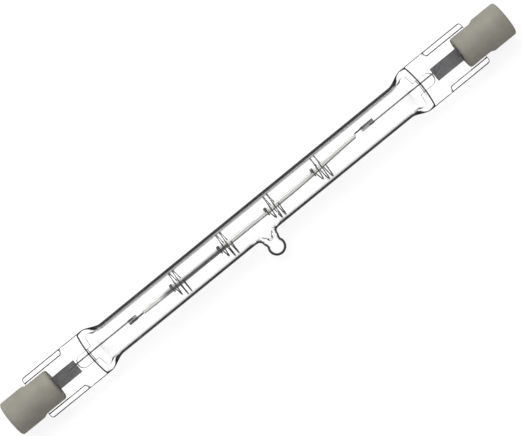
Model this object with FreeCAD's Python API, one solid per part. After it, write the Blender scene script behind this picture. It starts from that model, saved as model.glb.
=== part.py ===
import FreeCAD, Part
import math
import os

# Linear halogen lamp, 118 mm double-ended form, in millimetres.
# X runs along the lamp, and the origin is the middle of its axis.
# Everything is built with the flat of the seals level and the tip pointing to -Y,
# then turned about X until the tip touches the surface on which both caps lie.

# Overall
lamp_length = 117.6
bulb_shift = -0.5

# Tube
tube_od = 7.0
tube_wall = 0.7

# Press seals. The end of a seal lies inside its cap's face by seal_inset, before the shift.
# The flare reaches its full width at the share flare_spread of its length, and the finger
# cavity starts at the share finger_root. The stations are the shares at which the flare
# and its cavity have their sections.
seal_inset = 6.6
seal_length = 13.3
flare_length = 4.6
flare_spread = 0.85
flare_press = 1.5
seal_width = 9.35
web_thick = 1.3
rail_thick = 2.1
rail_width = 0.95
rail_slope = 0.25
rail_corner = 0.4
rail_delay = 4.4
rail_ramp = 0.6
seal_corner = 0.6
cavity_short = 0.5
cavity_taper = 0.7
cavity_nose = 0.4
cavity_side = 1.175
cavity_gap = 0.56
finger_width = 2.7
finger_length = 4.0
finger_root = 0.9
flare_stations = (0.0, 0.25, 0.5, 0.75, 1.0)
cavity_stations = (0.0, 0.35, 0.7, 1.0)

# Exhaust tip
tip_offset = 0.0
tip_ball_d = 3.5
tip_reach = 7.9
tip_neck_d = 3.0
tip_base_d = 3.8
tip_base_blend = 1.1
tip_hole_d = 3.0
tip_hole_depth = 1.9

# Caps
cap_d = 7.2
cap_length = 10.6
cap_flat_depth = 0.35
cap_head = 4.85
cap_slope = 1.0
cap_edge = 0.45
slot_clearance = 0.25
slot_reserve = 0.4
recess_d = 3.8
recess_depth = 1.7
recess_lip = 0.3
lead_hole_d = 1.5
cement_inset = 0.35
cement_cover = 0.1

# Contacts
contact_thick = 0.5
contact_ledge = 0.5
contact_clearance = 0.03
stem_length = 1.6
stem_d = 1.2

# Leads and foils
foil_width = 2.75
foil_thick = 0.06
foil_margin = 0.1
foil_length = 7.5
foil_lap = 1.6
outer_lead_d = 0.5
inner_lead_d = 0.3
inner_lead_side = 0.42
lead_bite = 0.2

# Sleeves that join the leads to the filament. Each lead stands bare between seal and sleeve.
sleeve_d = 1.06
sleeve_bore = 0.86
left_lead_bare = 12.2
left_sleeve_length = 1.95
right_lead_bare = 13.8
right_sleeve_length = 3.0
sleeve_grip = 1.2

# Filament
coil_d = 1.2
coil_wire = 0.2
coil_pitch = 0.9
coil_facets = 6
tail_gap = 1.4
tail_clearance = 0.02
rise_length = 18.1

# Filament supports
support_count = 4
left_support_inset = 10.25
right_support_inset = 10.0
support_wire = 0.24
support_clearance = 0.04
support_turns = 2.0
support_turn_pitch = 0.85
grip_turns = 1.5
grip_pitch = 0.3
grip_clearance = 0.08
arm_turns = 0.5
arm_step = 0.75
support_facets = 9
wire_sides = 4

# How far cutting shapes run past what they cut, and how near two places count as one
overrun = 1.0
touch = 0.02

tube_r = tube_od / 2
bore_r = tube_r - tube_wall
cap_r = cap_d / 2
cap_face = lamp_length / 2
cap_inner = cap_face - cap_length
cap_flats = cap_d - 2 * cap_flat_depth
seal_end = cap_face - seal_inset
shoulder = seal_end - seal_length
flare_start = shoulder - flare_length
cavity_end = shoulder - cavity_short
cavity_width = seal_width - 2 * cavity_side
finger_end = cavity_end + finger_length
foil_start = finger_end + foil_margin
foil_end = foil_start + foil_length
slot_end = seal_end + abs(bulb_shift) + slot_reserve
slot_gap = rail_thick + 2 * slot_clearance
contact_face = cap_face - recess_depth
contact_back = contact_face - contact_thick
lead_end = contact_back - stem_length
tip_ball_r = tip_ball_d / 2
tip_centre = tip_reach - tip_ball_r
foil_top = -outer_lead_d / 2 + lead_bite * outer_lead_d / 2
inner_lead_z = foil_top + (1 - lead_bite) * inner_lead_d / 2
sleeve_side = (sleeve_bore - inner_lead_d) / 2
coil_r = (coil_d - coil_wire) / 2
left_sleeve_end = left_lead_bare + bulb_shift - finger_end
right_sleeve_end = finger_end + bulb_shift - right_lead_bare
left_coil_end = left_sleeve_end + left_sleeve_length
right_coil_end = right_sleeve_end - right_sleeve_length
first_support = left_coil_end + left_support_inset
last_support = right_coil_end - right_support_inset
support_pitch = (last_support - first_support) / (support_count - 1)
rise_start = right_coil_end - rise_length
roll = math.degrees(math.asin((cap_r - tip_ball_r) / tip_centre))


def vec(x, y, z):
    return FreeCAD.Vector(x, y, z)


origin = vec(0, 0, 0)
along = vec(1, 0, 0)

# A direction that no wire follows, from which the sides of a wire's section are set out
askew = vec(0.36, 0.48, 0.8)


def smooth(u):
    u = min(max(u, 0.0), 1.0)
    return u * u * (3 - 2 * u)


def blend(a, b, share):
    return a + (b - a) * share


def rod(x0, x1, radius, y=0.0, z=0.0):
    return Part.makeCylinder(radius, x1 - x0, vec(x0, y, z), along)


def block(x0, x1, width, height, y=0.0, z=0.0):
    return Part.makeBox(x1 - x0, width, height, vec(x0, y - width / 2, z - height / 2))


def closed_outline(points, place):
    # Wire through flat points (a, b). A triple (a, b, middle) is reached by an arc.
    edges = []
    last = place(points[0][0], points[0][1])
    for point in points[1:] + [points[0][:2]]:
        here = place(point[0], point[1])
        if len(point) == 3:
            edges.append(Part.Arc(last, place(*point[2]), here).toShape())
        else:
            edges.append(Part.LineSegment(last, here).toShape())
        last = here
    return Part.Wire(edges)


def turned(points):
    # Solid of revolution about X from points (x, r).
    face = Part.Face(closed_outline(points, lambda x, r: vec(x, r, 0)))
    return face.revolve(origin, along, 360)


def mirrored(shape):
    return shape.mirror(origin, along)


# Wires bent from straight lengths, with mitred corners

def mitre_normal(points, index):
    before = points[max(index - 1, 0)]
    here = points[index]
    after = points[min(index + 1, len(points) - 1)]
    way = vec(0, 0, 0)
    if index > 0:
        way = way + (here - before).normalize()
    if index < len(points) - 1:
        way = way + (after - here).normalize()
    return way.normalize()


def bent_wire(points, diameter):
    first = (points[1] - points[0]).normalize()
    side = first.cross(askew).normalize()
    up = first.cross(side)
    ring = []
    for k in range(wire_sides):
        turn = 2 * math.pi * (k + 0.5) / wire_sides
        spoke = side * math.cos(turn) + up * math.sin(turn)
        ring.append(points[0] + spoke * (diameter / 2))
    rings = [ring]
    for i in range(1, len(points)):
        way = (points[i] - points[i - 1]).normalize()
        normal = mitre_normal(points, i)
        step = [(points[i] - p).dot(normal) / way.dot(normal) for p in ring]
        ring = [p + way * s for p, s in zip(ring, step)]
        rings.append(ring)
    faces = [Part.Face(Part.makePolygon(rings[0] + rings[0][:1]))]
    for near, far in zip(rings, rings[1:]):
        for k in range(wire_sides):
            m = (k + 1) % wire_sides
            loop = [near[k], near[m], far[m], far[k], near[k]]
            faces.append(Part.Face(Part.makePolygon(loop)))
    faces.append(Part.Face(Part.makePolygon(rings[-1] + rings[-1][:1])))
    solid = Part.Solid(Part.Shell(faces))
    if solid.Volume < 0:
        solid.reverse()
    return solid


# Quartz envelope

def ring_wire(x, corners, half_width, half_height, share):
    # Closed ring of arcs on an ellipse at share 0, and of straight runs between corners at share 1.
    # A corner is (angle on the ellipse, y, z), and the list covers a quarter, from side to top.
    ring = corners + [(180 - a, -y, z) for a, y, z in reversed(corners)]
    ring += [(180 + a, -y, -z) for a, y, z in ring]
    ring.append((360 + corners[0][0], corners[0][1], corners[0][2]))
    edges = []
    for near, far in zip(ring, ring[1:]):
        places = []
        for angle, y, z in (near, halfway(near, far), far):
            turn = math.radians(angle)
            y = blend(half_width * math.cos(turn), y, share)
            z = blend(half_height * math.sin(turn), z, share)
            places.append(vec(x, y, z))
        if share < 1:
            edges.append(Part.Arc(*places).toShape())
        else:
            edges.append(Part.LineSegment(places[0], places[2]).toShape())
    return Part.Wire(edges)


def halfway(near, far):
    return [(a + b) / 2 for a, b in zip(near, far)]


def spread(corners, half_width):
    # Gives each corner (y, z) the angle at which an ellipse has the same share of its width.
    # The first corner, which lies on the side itself, takes half the second one's angle.
    angles = [math.degrees(math.acos(y / half_width)) for y, z in corners]
    angles[0] = angles[1] / 2
    return [(angle, y, z) for angle, (y, z) in zip(angles, corners)]


def seal_corners(edge_thick):
    # Flat web between two edges, which are rails where they are thicker than the web.
    half = seal_width / 2
    edge = edge_thick / 2
    rail_in = half - rail_width
    corners = [(half, edge - rail_corner), (half - rail_corner, edge)]
    corners += [(rail_in, edge), (rail_in - rail_slope, web_thick / 2)]
    return spread(corners, half)


def seal_outside():
    # The tube's end flares into the pressed seal.
    sections = []
    for u in flare_stations:
        x = blend(flare_start, shoulder, u)
        half_width = blend(tube_r, seal_width / 2, smooth(u / flare_spread))
        half_height = blend(tube_r, web_thick / 2, smooth(u))
        share = smooth(u) ** flare_press
        sections.append(ring_wire(x, seal_corners(web_thick), half_width, half_height, share))
    rail_start = shoulder + rail_delay
    edges = [(rail_start, web_thick), (rail_start + rail_ramp, rail_thick), (seal_end, rail_thick)]
    for x, thick in edges:
        sections.append(ring_wire(x, seal_corners(thick), 0, 0, 1))
    bounds = block(flare_start - overrun, seal_end, seal_width, tube_od + overrun)
    corners = [e for e in bounds.Edges if is_end_corner(e)]
    return Part.makeLoft(sections, True, True).common(bounds.makeFillet(seal_corner, corners))


def is_end_corner(edge):
    box = edge.BoundBox
    return box.ZLength > tube_r and box.XMax > seal_end - touch and box.XLength < touch


def flare_inside():
    gap = cavity_gap / 2
    sections = []
    for u in cavity_stations:
        x = blend(flare_start, cavity_end, u)
        half_width = blend(bore_r, cavity_width / 2, smooth(u / flare_spread))
        half_width *= math.sqrt(1 - max(0.0, (u - cavity_taper) / cavity_nose) ** 2)
        half_height = blend(bore_r, gap, smooth(u))
        corners = spread([(half_width, gap / 2), (half_width - gap, gap)], half_width)
        sections.append(ring_wire(x, corners, half_width, half_height, smooth(u) ** flare_press))
    return Part.makeLoft(sections, True, True)


def finger_cavity():
    radius = finger_width / 2
    start = blend(flare_start, cavity_end, finger_root)
    straight = block(start, finger_end - radius, finger_width, cavity_gap)
    nose = Part.makeCylinder(radius, cavity_gap, vec(finger_end - radius, 0, -cavity_gap / 2))
    return straight.fuse(nose).removeSplitter()


def tip_outside():
    # Turned about X here, and stood along -Y afterwards. The neck widens towards the tube.
    neck_r = tip_neck_d / 2
    join = tip_centre - math.sqrt(tip_ball_r ** 2 - neck_r ** 2)
    widening = (tip_base_d / 2 - neck_r) / (join - tube_r)
    root_r = neck_r + widening * (join - bore_r)
    crown = (tip_centre + tip_ball_r * math.sqrt(0.5), tip_ball_r * math.sqrt(0.5))
    return turned([(bore_r, 0), (bore_r, root_r), (join, neck_r), (tip_reach, 0, crown)])


def tip_inside():
    hole_r = tip_hole_d / 2
    root = bore_r - tube_wall
    return turned([(root, 0), (root, hole_r), (bore_r, hole_r), (bore_r + tip_hole_depth, 0)])


def stood(shape):
    shape = shape.copy()
    shape.rotate(origin, vec(0, 0, 1), -90)
    shape.translate(vec(tip_offset, 0, 0))
    return shape


def is_tip_foot(edge):
    box = edge.BoundBox
    on_tube = box.YMin > -tube_r - touch and box.YMax < 0
    return on_tube and box.XLength > tip_neck_d and box.ZLength > tip_neck_d


def quartz_envelope(buried):
    body = rod(-flare_start, flare_start, tube_r).fuse(stood(tip_outside()))
    foot = [e for e in body.Edges if is_tip_foot(e)]
    body = body.makeFillet(tip_base_blend, foot)
    end = seal_outside()
    body = body.fuse([end, mirrored(end)]).removeSplitter()
    hollow_end = flare_inside().fuse(finger_cavity())
    hollow = rod(-flare_start, flare_start, bore_r).fuse([hollow_end, mirrored(hollow_end)])
    hollow = hollow.fuse(stood(tip_inside())).removeSplitter()
    glass = body.cut(hollow)
    glass.translate(vec(bulb_shift, 0, 0))
    return glass.cut(buried)


# Metal parts of one end, built for the +X end

def foil(shift):
    return block(
        foil_start + shift, foil_end + shift, foil_width, foil_thick, 0, foil_top - foil_thick / 2
    )


def outer_lead(shift):
    return rod(foil_end - foil_lap + shift, lead_end, outer_lead_d / 2).cut(foil(shift))


def inner_lead(shift, tip_x):
    lead = rod(tip_x, foil_start + foil_lap + shift, inner_lead_d / 2, inner_lead_side, inner_lead_z)
    return lead.cut(foil(shift))


def sleeve(x0, x1, y):
    tube = rod(x0, x1, sleeve_d / 2, y, inner_lead_z)
    return tube.cut(rod(x0, x1, sleeve_bore / 2, y, inner_lead_z))


def contact():
    disc_r = recess_d / 2 - contact_ledge - contact_clearance
    outline = [(contact_face, 0), (contact_face, disc_r), (contact_back, disc_r)]
    outline += [(contact_back, stem_d / 2), (lead_end, stem_d / 2), (lead_end, 0)]
    return turned(outline)


# Caps and cement, built for the +X end

def ceramic_cap():
    hole_r = lead_hole_d / 2
    recess_r = recess_d / 2
    seat_r = recess_r - contact_ledge
    body = turned([
        (cap_inner, 0),
        (cap_inner, cap_r - cap_edge),
        (cap_inner + cap_edge, cap_r),
        (cap_face - cap_edge, cap_r),
        (cap_face, cap_r - cap_edge),
        (cap_face, 0),
    ])
    step = cap_face - cap_head
    for side in (1, -1):
        outline = [(cap_inner - overrun, cap_flats / 2), (step - cap_slope, cap_flats / 2)]
        outline += [(step, cap_r), (step, cap_r + overrun), (cap_inner - overrun, cap_r + overrun)]
        wall = Part.Face(closed_outline(outline, lambda x, y: vec(x, side * y, -cap_r - overrun)))
        body = body.cut(wall.extrude(vec(0, 0, cap_d + 2 * overrun)))
    slot = block(cap_inner - overrun, slot_end, cap_d + 2 * overrun, slot_gap)
    bore = turned([
        (slot_end - overrun, 0),
        (slot_end - overrun, hole_r),
        (contact_back, hole_r),
        (contact_back, seat_r),
        (contact_face, seat_r),
        (contact_face, recess_r),
        (cap_face - recess_lip, recess_r),
        (cap_face + overrun, recess_r + recess_lip + overrun),
        (cap_face + overrun, 0),
    ])
    return body.cut([slot, bore])


def cement(glass, shift):
    # Fills the cap's slot round the seal, short of the cap's inner face.
    fill = block(cap_inner + cement_inset, slot_end, cap_flats - 2 * cement_cover, slot_gap)
    return fill.cut([glass, foil(shift), outer_lead(shift)])


# Filament and its supports

def filament_side(x):
    # Sideways place of the coil's axis, which climbs towards the right-hand sleeve.
    left = inner_lead_side - sleeve_side
    right = inner_lead_side + sleeve_side
    if x < rise_start:
        return blend(left, 0.0, smooth((x - left_coil_end) / left_support_inset))
    return blend(0.0, right, smooth((x - rise_start) / rise_length))


def filament():
    x0 = left_coil_end + tail_gap
    x1 = right_coil_end - tail_gap
    turns = int((x1 - x0) / coil_pitch)
    steps = turns * coil_facets
    tail_r = (sleeve_bore - coil_wire) / 2 - tail_clearance
    points = []
    tail_in = left_coil_end - sleeve_grip
    points.append(vec(tail_in, filament_side(tail_in) - tail_r, inner_lead_z))
    for k in range(steps + 1):
        turn = 2 * math.pi * k / coil_facets
        x = blend(x0, x1, k / steps)
        away = min(k, steps - k) / coil_facets
        radius = blend(tail_r, coil_r, smooth(away))
        y = filament_side(x) - radius * math.cos(turn)
        lift = blend(inner_lead_z, 0.0, smooth(away))
        points.append(vec(x, y, lift + radius * math.sin(turn)))
    tail_out = right_coil_end + sleeve_grip
    points[-1] = vec(x1, filament_side(x1) + tail_r, inner_lead_z)
    points.append(vec(tail_out, filament_side(tail_out) + tail_r, inner_lead_z))
    return bent_wire(points, coil_wire)


def filament_support(x_mid):
    # A grip of close turns on the coil, an arm that swings out, and turns that touch the tube.
    ring_r = bore_r - support_wire / 2 - support_clearance
    grip_r = coil_d / 2 + support_wire / 2 + grip_clearance
    ring_length = support_turns * support_turn_pitch
    x = x_mid - ring_length / 2 - arm_step - grip_turns * grip_pitch
    side = filament_side(x_mid - ring_length / 2 - arm_step)
    total = grip_turns + arm_turns + support_turns
    steps = int(round(total * support_facets))
    points = []
    for k in range(steps + 1):
        turned_by = total * k / steps
        out = smooth((turned_by - grip_turns) / arm_turns)
        radius = blend(grip_r, ring_r, out)
        angle = 2 * math.pi * turned_by
        y = blend(side, 0.0, out) + radius * math.sin(angle)
        points.append(vec(x, y, radius * math.cos(angle)))
        if turned_by < grip_turns:
            x += grip_pitch * total / steps
        elif turned_by < grip_turns + arm_turns:
            x += arm_step / arm_turns * total / steps
        else:
            x += support_turn_pitch * total / steps
    return bent_wire(points, support_wire)


def build():
    parts = {}
    ends = {"left": (-bulb_shift, -left_sleeve_end), "right": (bulb_shift, right_sleeve_end)}
    for name, (shift, sleeve_end) in ends.items():
        parts["molybdenum_foil_" + name] = foil(shift)
        parts["outer_lead_" + name] = outer_lead(shift)
        parts["inner_lead_" + name] = inner_lead(shift, sleeve_end - sleeve_grip)
        parts["ceramic_cap_" + name] = ceramic_cap()
        parts["contact_" + name] = contact()
    buried = []
    for name in parts:
        if name.endswith("left"):
            parts[name] = mirrored(parts[name])
        if name.startswith(("molybdenum", "outer", "inner")):
            buried.append(parts[name])
    glass = quartz_envelope(buried)
    parts["quartz_envelope"] = glass
    parts["cap_cement_right"] = cement(glass, bulb_shift)
    parts["cap_cement_left"] = mirrored(cement(mirrored(glass), -bulb_shift))
    parts["sleeve_left"] = sleeve(left_sleeve_end, left_coil_end, inner_lead_side - sleeve_side)
    parts["sleeve_right"] = sleeve(right_coil_end, right_sleeve_end, inner_lead_side + sleeve_side)
    parts["filament"] = filament()
    for k in range(support_count):
        x_mid = first_support + k * support_pitch
        parts["filament_support_%d" % (k + 1)] = filament_support(x_mid)
    return parts


os.makedirs("parts", exist_ok=True)
for name, shape in build().items():
    shape.rotate(origin, along, roll)
    shape.exportStep("parts/" + name + ".step")
    print(name, len(shape.Solids), shape.isValid(), round(shape.Volume, 3), len(shape.Faces))
print("The tip points", round(roll, 2), "degrees down")
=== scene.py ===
import bpy
import bmesh
import math
from mathutils import Matrix, Vector


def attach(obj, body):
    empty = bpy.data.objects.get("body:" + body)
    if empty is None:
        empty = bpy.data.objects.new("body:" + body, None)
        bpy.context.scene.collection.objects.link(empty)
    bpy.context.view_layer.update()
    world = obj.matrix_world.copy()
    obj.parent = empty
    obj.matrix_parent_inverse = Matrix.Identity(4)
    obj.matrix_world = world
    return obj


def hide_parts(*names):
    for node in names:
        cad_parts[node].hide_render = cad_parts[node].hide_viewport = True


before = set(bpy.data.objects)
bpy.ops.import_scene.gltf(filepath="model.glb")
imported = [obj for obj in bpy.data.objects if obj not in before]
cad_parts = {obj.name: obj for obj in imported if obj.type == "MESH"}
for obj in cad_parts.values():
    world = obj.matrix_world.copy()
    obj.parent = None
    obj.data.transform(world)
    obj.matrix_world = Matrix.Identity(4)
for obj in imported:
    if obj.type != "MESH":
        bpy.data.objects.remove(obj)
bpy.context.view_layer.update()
print("frame loaded:", len(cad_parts), "nodes")

mm = 0.001
lamp = {
    "capRadius": 3.6,
    "tipBallRadius": 1.75,
    "tipBallCentre": 6.15,
    "halfLength": 58.8,
    "glassShift": -0.5,
}
roll = math.asin((lamp["capRadius"] - lamp["tipBallRadius"]) / lamp["tipBallCentre"])
lying = Matrix.Rotation(roll, 4, "X")  # turns the lamp from seals level to lying on its tip


def smoothStep(u):
    u = min(max(u, 0.0), 1.0)
    return u * u * (3 - 2 * u)


def mix(a, b, share):
    return a + (b - a) * share


# mesh helpers, all in millimetres with the lamp along X and its seals level

def newPiece(name, verts, faces, material, node, sharpAngle=None, hollowFrom=None):
    # faces from number hollowFrom on are the wall of a closed cavity
    mesh = bpy.data.meshes.new(name)
    mesh.from_pydata([lying @ (Vector(v) * mm) for v in verts], [], faces)
    bm = bmesh.new()
    bm.from_mesh(mesh)
    bm.faces.ensure_lookup_table()
    inner = bm.faces[hollowFrom:] if hollowFrom else []
    bmesh.ops.recalc_face_normals(bm, faces=bm.faces)
    bmesh.ops.reverse_faces(bm, faces=inner)
    for face in bm.faces:
        face.smooth = True
    if sharpAngle:
        for edge in bm.edges:
            if len(edge.link_faces) == 2 and edge.calc_face_angle(0) > math.radians(sharpAngle):
                edge.smooth = False
    bm.to_mesh(mesh)
    bm.free()
    piece = bpy.data.objects.new(name, mesh)
    bpy.context.scene.collection.objects.link(piece)
    piece.data.materials.append(material)
    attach(piece, "root")
    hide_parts(node)
    return piece


def skinRings(rings, verts, faces, skip=None):
    # quads between rings of equal count; skip(i, k) leaves a quad out
    start = len(verts)
    count = len(rings[0])
    for ring in rings:
        verts.extend(ring)
    for i in range(len(rings) - 1):
        for k in range(count):
            if skip and skip(i, k):
                continue
            a = start + i * count + k
            b = start + i * count + (k + 1) % count
            faces.append((a, b, b + count, a + count))
    return start


def closeRing(start, count, verts, faces):
    # fan from a ring to its middle
    middle = sum((Vector(verts[start + k]) for k in range(count)), Vector()) / count
    verts.append(tuple(middle))
    for k in range(count):
        faces.append((start + k, start + (k + 1) % count, len(verts) - 1))


def skinWire(points, radius, sides, verts, faces):
    # round wire along a path, its section carried along without twist
    points = [Vector(p) for p in points]
    way = (points[1] - points[0]).normalized()
    side = way.cross(Vector((0.36, 0.48, 0.8))).normalized()
    rings = []
    for i, p in enumerate(points):
        before = points[max(i - 1, 0)]
        after = points[min(i + 1, len(points) - 1)]
        newWay = (after - before).normalized()
        side = (side - newWay * side.dot(newWay)).normalized()
        up = newWay.cross(side)
        turns = [2 * math.pi * k / sides for k in range(sides)]
        rings.append([tuple(p + (side * math.cos(t) + up * math.sin(t)) * radius) for t in turns])
    start = skinRings(rings, verts, faces)
    closeRing(start, sides, verts, faces)
    closeRing(start + (len(rings) - 1) * sides, sides, verts, faces)


# node helpers

def addNode(tree, kind, place, **values):
    node = tree.nodes.new(kind)
    node.location = place
    for key, value in values.items():
        if key in node.inputs:
            node.inputs[key].default_value = value
        else:
            setattr(node, key, value)
    return node


def feed(tree, sockets, values):
    # links each value that is another node's output, and sets the others as constants
    for key, value in values.items():
        if isinstance(value, bpy.types.NodeSocket):
            tree.links.new(value, sockets[key])
        else:
            sockets[key].default_value = value


def addMath(tree, operation, place, *values, **options):
    node = addNode(tree, "ShaderNodeMath", place, operation=operation, **options)
    feed(tree, node.inputs, dict(enumerate(values)))
    return node.outputs[0]


def addRange(tree, place, value, span, top=1.0, bottom=0.0, **options):
    # turns the span of a value into the range from bottom to top
    node = addNode(tree, "ShaderNodeMapRange", place, **options)
    feed(tree, node.inputs, {
        "Value": value, "From Min": span[0], "From Max": span[1], "To Min": bottom, "To Max": top,
    })
    return node.outputs["Result"]


def addAlong(tree, place, vector, way):
    # how far a vector goes along a direction
    node = addNode(tree, "ShaderNodeVectorMath", place, operation="DOT_PRODUCT")
    feed(tree, node.inputs, {0: vector, 1: way})
    return node.outputs["Value"]


def addPart(tree, place, vector, axis):
    node = addNode(tree, "ShaderNodeSeparateXYZ", place)
    feed(tree, node.inputs, {0: vector})
    return node.outputs[axis]


def addMix(tree, kind, place, share, first, second):
    node = addNode(tree, "ShaderNodeMix", place, data_type=kind)
    feed(tree, node.inputs, {"Factor": share, "A": first, "B": second})
    return node.outputs["Result"]


def fillRamp(node, stops):
    ramp = node.color_ramp
    while len(ramp.elements) < len(stops):
        ramp.elements.new(1.0)
    for element, (place, grey) in zip(ramp.elements, stops):
        element.position = place
        element.color = (grey, grey, grey, 1)


def newMaterial(name):
    material = bpy.data.materials.new(name)
    material.use_nodes = True
    tree = material.node_tree
    tree.nodes.clear()
    output = addNode(tree, "ShaderNodeOutputMaterial", (600, 0))
    shader = addNode(tree, "ShaderNodeBsdfPrincipled", (300, 0))
    tree.links.new(shader.outputs["BSDF"], output.inputs["Surface"])
    return material, tree, shader


def newGroup(name, colours, numbers):
    # node group with these inputs, and the outputs Color, Height and Roughness
    group = bpy.data.node_groups.new(name, "ShaderNodeTree")
    for kind, values in (("NodeSocketColor", colours), ("NodeSocketFloat", numbers)):
        for key, value in values.items():
            group.interface.new_socket(name=key, in_out="INPUT", socket_type=kind).default_value = value
    group.interface.new_socket(name="Color", in_out="OUTPUT", socket_type="NodeSocketColor")
    for key in ("Height", "Roughness"):
        group.interface.new_socket(name=key, in_out="OUTPUT", socket_type="NodeSocketFloat")
    ins = addNode(group, "NodeGroupInput", (-900, 0)).outputs
    outs = addNode(group, "NodeGroupOutput", (500, 0)).inputs
    spot = addNode(group, "ShaderNodeTexCoord", (-900, -300)).outputs["Object"]
    return group, ins, outs, spot


speckle = {
    "colours": {"Pale": (0.6, 0.58, 0.54, 1), "Dark": (0.5, 0.48, 0.44, 1)},
    "numbers": {"Cloud Size": 400.0, "Grain Size": 5000.0, "Pit Amount": 0.2},
    "cloudEdge": (0.36, 0.64),
    "cloudShare": 0.55,
    "grainShare": 0.45,
    "pitEdge": (0.0, 0.25),
    "smoothest": 0.62,
    "roughest": 0.88,
}


def buildSpeckleGroup():
    # mottled colour with fine pits, for fired ceramic and cement
    s = speckle
    group, ins, outs, spot = newGroup("firedSpeckle", s["colours"], s["numbers"])
    cloud = addNode(group, "ShaderNodeTexNoise", (-650, 250), Detail=4.0, Roughness=0.6)
    grain = addNode(group, "ShaderNodeTexNoise", (-650, -50), Detail=6.0, Roughness=0.7)
    pits = addNode(group, "ShaderNodeTexVoronoi", (-650, -350))
    for texture, size in ((cloud, "Cloud Size"), (grain, "Grain Size"), (pits, "Grain Size")):
        feed(group, texture.inputs, {"Vector": spot, "Scale": ins[size]})
    grit = grain.outputs["Fac"]
    patches = addRange(group, (-400, 300), cloud.outputs["Fac"], s["cloudEdge"])
    grainShare = addMath(group, "MULTIPLY", (-400, 0), grit, s["grainShare"])
    share = addMath(group, "MULTIPLY_ADD", (-150, 200), patches, s["cloudShare"], grainShare)
    inPit = addRange(group, (-400, -350), pits.outputs["Distance"], s["pitEdge"], 0.0, 1.0)
    depth = addMath(group, "MULTIPLY", (-150, -300), inPit, ins["Pit Amount"])
    feed(group, outs, {
        "Color": addMix(group, "RGBA", (150, 200), share, ins["Dark"], ins["Pale"]),
        "Height": addMath(group, "SUBTRACT", (150, -100), grit, depth),
        "Roughness": addRange(group, (150, -300), grit, (0.0, 1.0), s["roughest"], s["smoothest"]),
    })
    return group


drawn = {
    "colours": {"Bright": (0.5, 0.5, 0.5, 1), "Stained": (0.2, 0.2, 0.2, 1)},
    "numbers": {"Streak Size": 3000.0, "Stain Size": 600.0, "Rough Low": 0.25, "Rough High": 0.5},
    "stretch": (0.08, 1.0, 1.0),
}


def buildWireGroup():
    # drawn or rolled metal: streaks along one direction and stained patches
    group, ins, outs, spot = newGroup("drawnMetal", drawn["colours"], drawn["numbers"])
    stretch = addNode(group, "ShaderNodeMapping", (-700, -300), Scale=drawn["stretch"])
    streak = addNode(group, "ShaderNodeTexNoise", (-450, -200), Detail=3.0)
    stain = addNode(group, "ShaderNodeTexNoise", (-450, 200), Detail=5.0, Roughness=0.65)
    feed(group, stretch.inputs, {"Vector": spot})
    feed(group, streak.inputs, {"Vector": stretch.outputs["Vector"], "Scale": ins["Streak Size"]})
    feed(group, stain.inputs, {"Vector": spot, "Scale": ins["Stain Size"]})
    grooves = streak.outputs["Fac"]
    feed(group, outs, {
        "Color": addMix(group, "RGBA", (0, 150), stain.outputs["Fac"], ins["Stained"], ins["Bright"]),
        "Height": grooves,
        "Roughness": addRange(group, (0, -250), grooves, (0.0, 1.0), ins["Rough High"], ins["Rough Low"]),
    })
    return group


speckleGroup = buildSpeckleGroup()
wireGroup = buildWireGroup()


def groupMaterial(name, group, values, bumpStrength, bumpDistance, metallic=0.0, rim=1.0):
    # rim is the brightness of the metal seen edge-on
    material, tree, shader = newMaterial(name)
    effect = addNode(tree, "ShaderNodeGroup", (-300, 0))
    effect.node_tree = group
    feed(tree, effect.inputs, values)
    bump = addNode(tree, "ShaderNodeBump", (0, -250), Strength=bumpStrength, Distance=bumpDistance)
    feed(tree, bump.inputs, {"Height": effect.outputs["Height"]})
    feed(tree, shader.inputs, {
        "Metallic": metallic,
        "Specular Tint": (rim, rim, rim, 1),
        "Base Color": effect.outputs["Color"],
        "Roughness": effect.outputs["Roughness"],
        "Normal": bump.outputs["Normal"],
    })
    return material


# places are in metres from the lamp's axis or, along it, from the glass's middle
clear = {
    "ior": 1.458,
    "edgeStops": [(0.0, 1.0), (0.33, 0.95), (0.41, 0.6), (0.475, 0.1), (0.53, 0.0005), (1.0, 0.0)],
    "waveSize": 420.0,
    "waveStrength": 0.35,
    "waveDepth": 0.0002,
    "hazeSize": 160.0,
    "hazeEdge": (0.55, 0.8),
    "hazeRough": 0.04,
    "pressed": (0.036, 0.040),
    "flare": (0.0350, 0.0366),
    "finger": 0.04015,
    "fingerHalf": 0.00225,
    "fingerGain": 2.6,
    "sealGain": 1.3,
    "tip": (0.0038, 0.0052),
    "tipShare": 0.3,
    "sideTurn": (0.4, 0.65),
    "sideGain": 1.4,
    "endTurn": (0.72, 0.85),
    "endGain": 1.2,
    "squareOn": (0.97, 0.88),
    "outside": (0.0029, 0.0031),
    "upper": (-0.0015, -0.0025),
    "upperGain": 0.05,
    "upperShare": 0.7,
}


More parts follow.
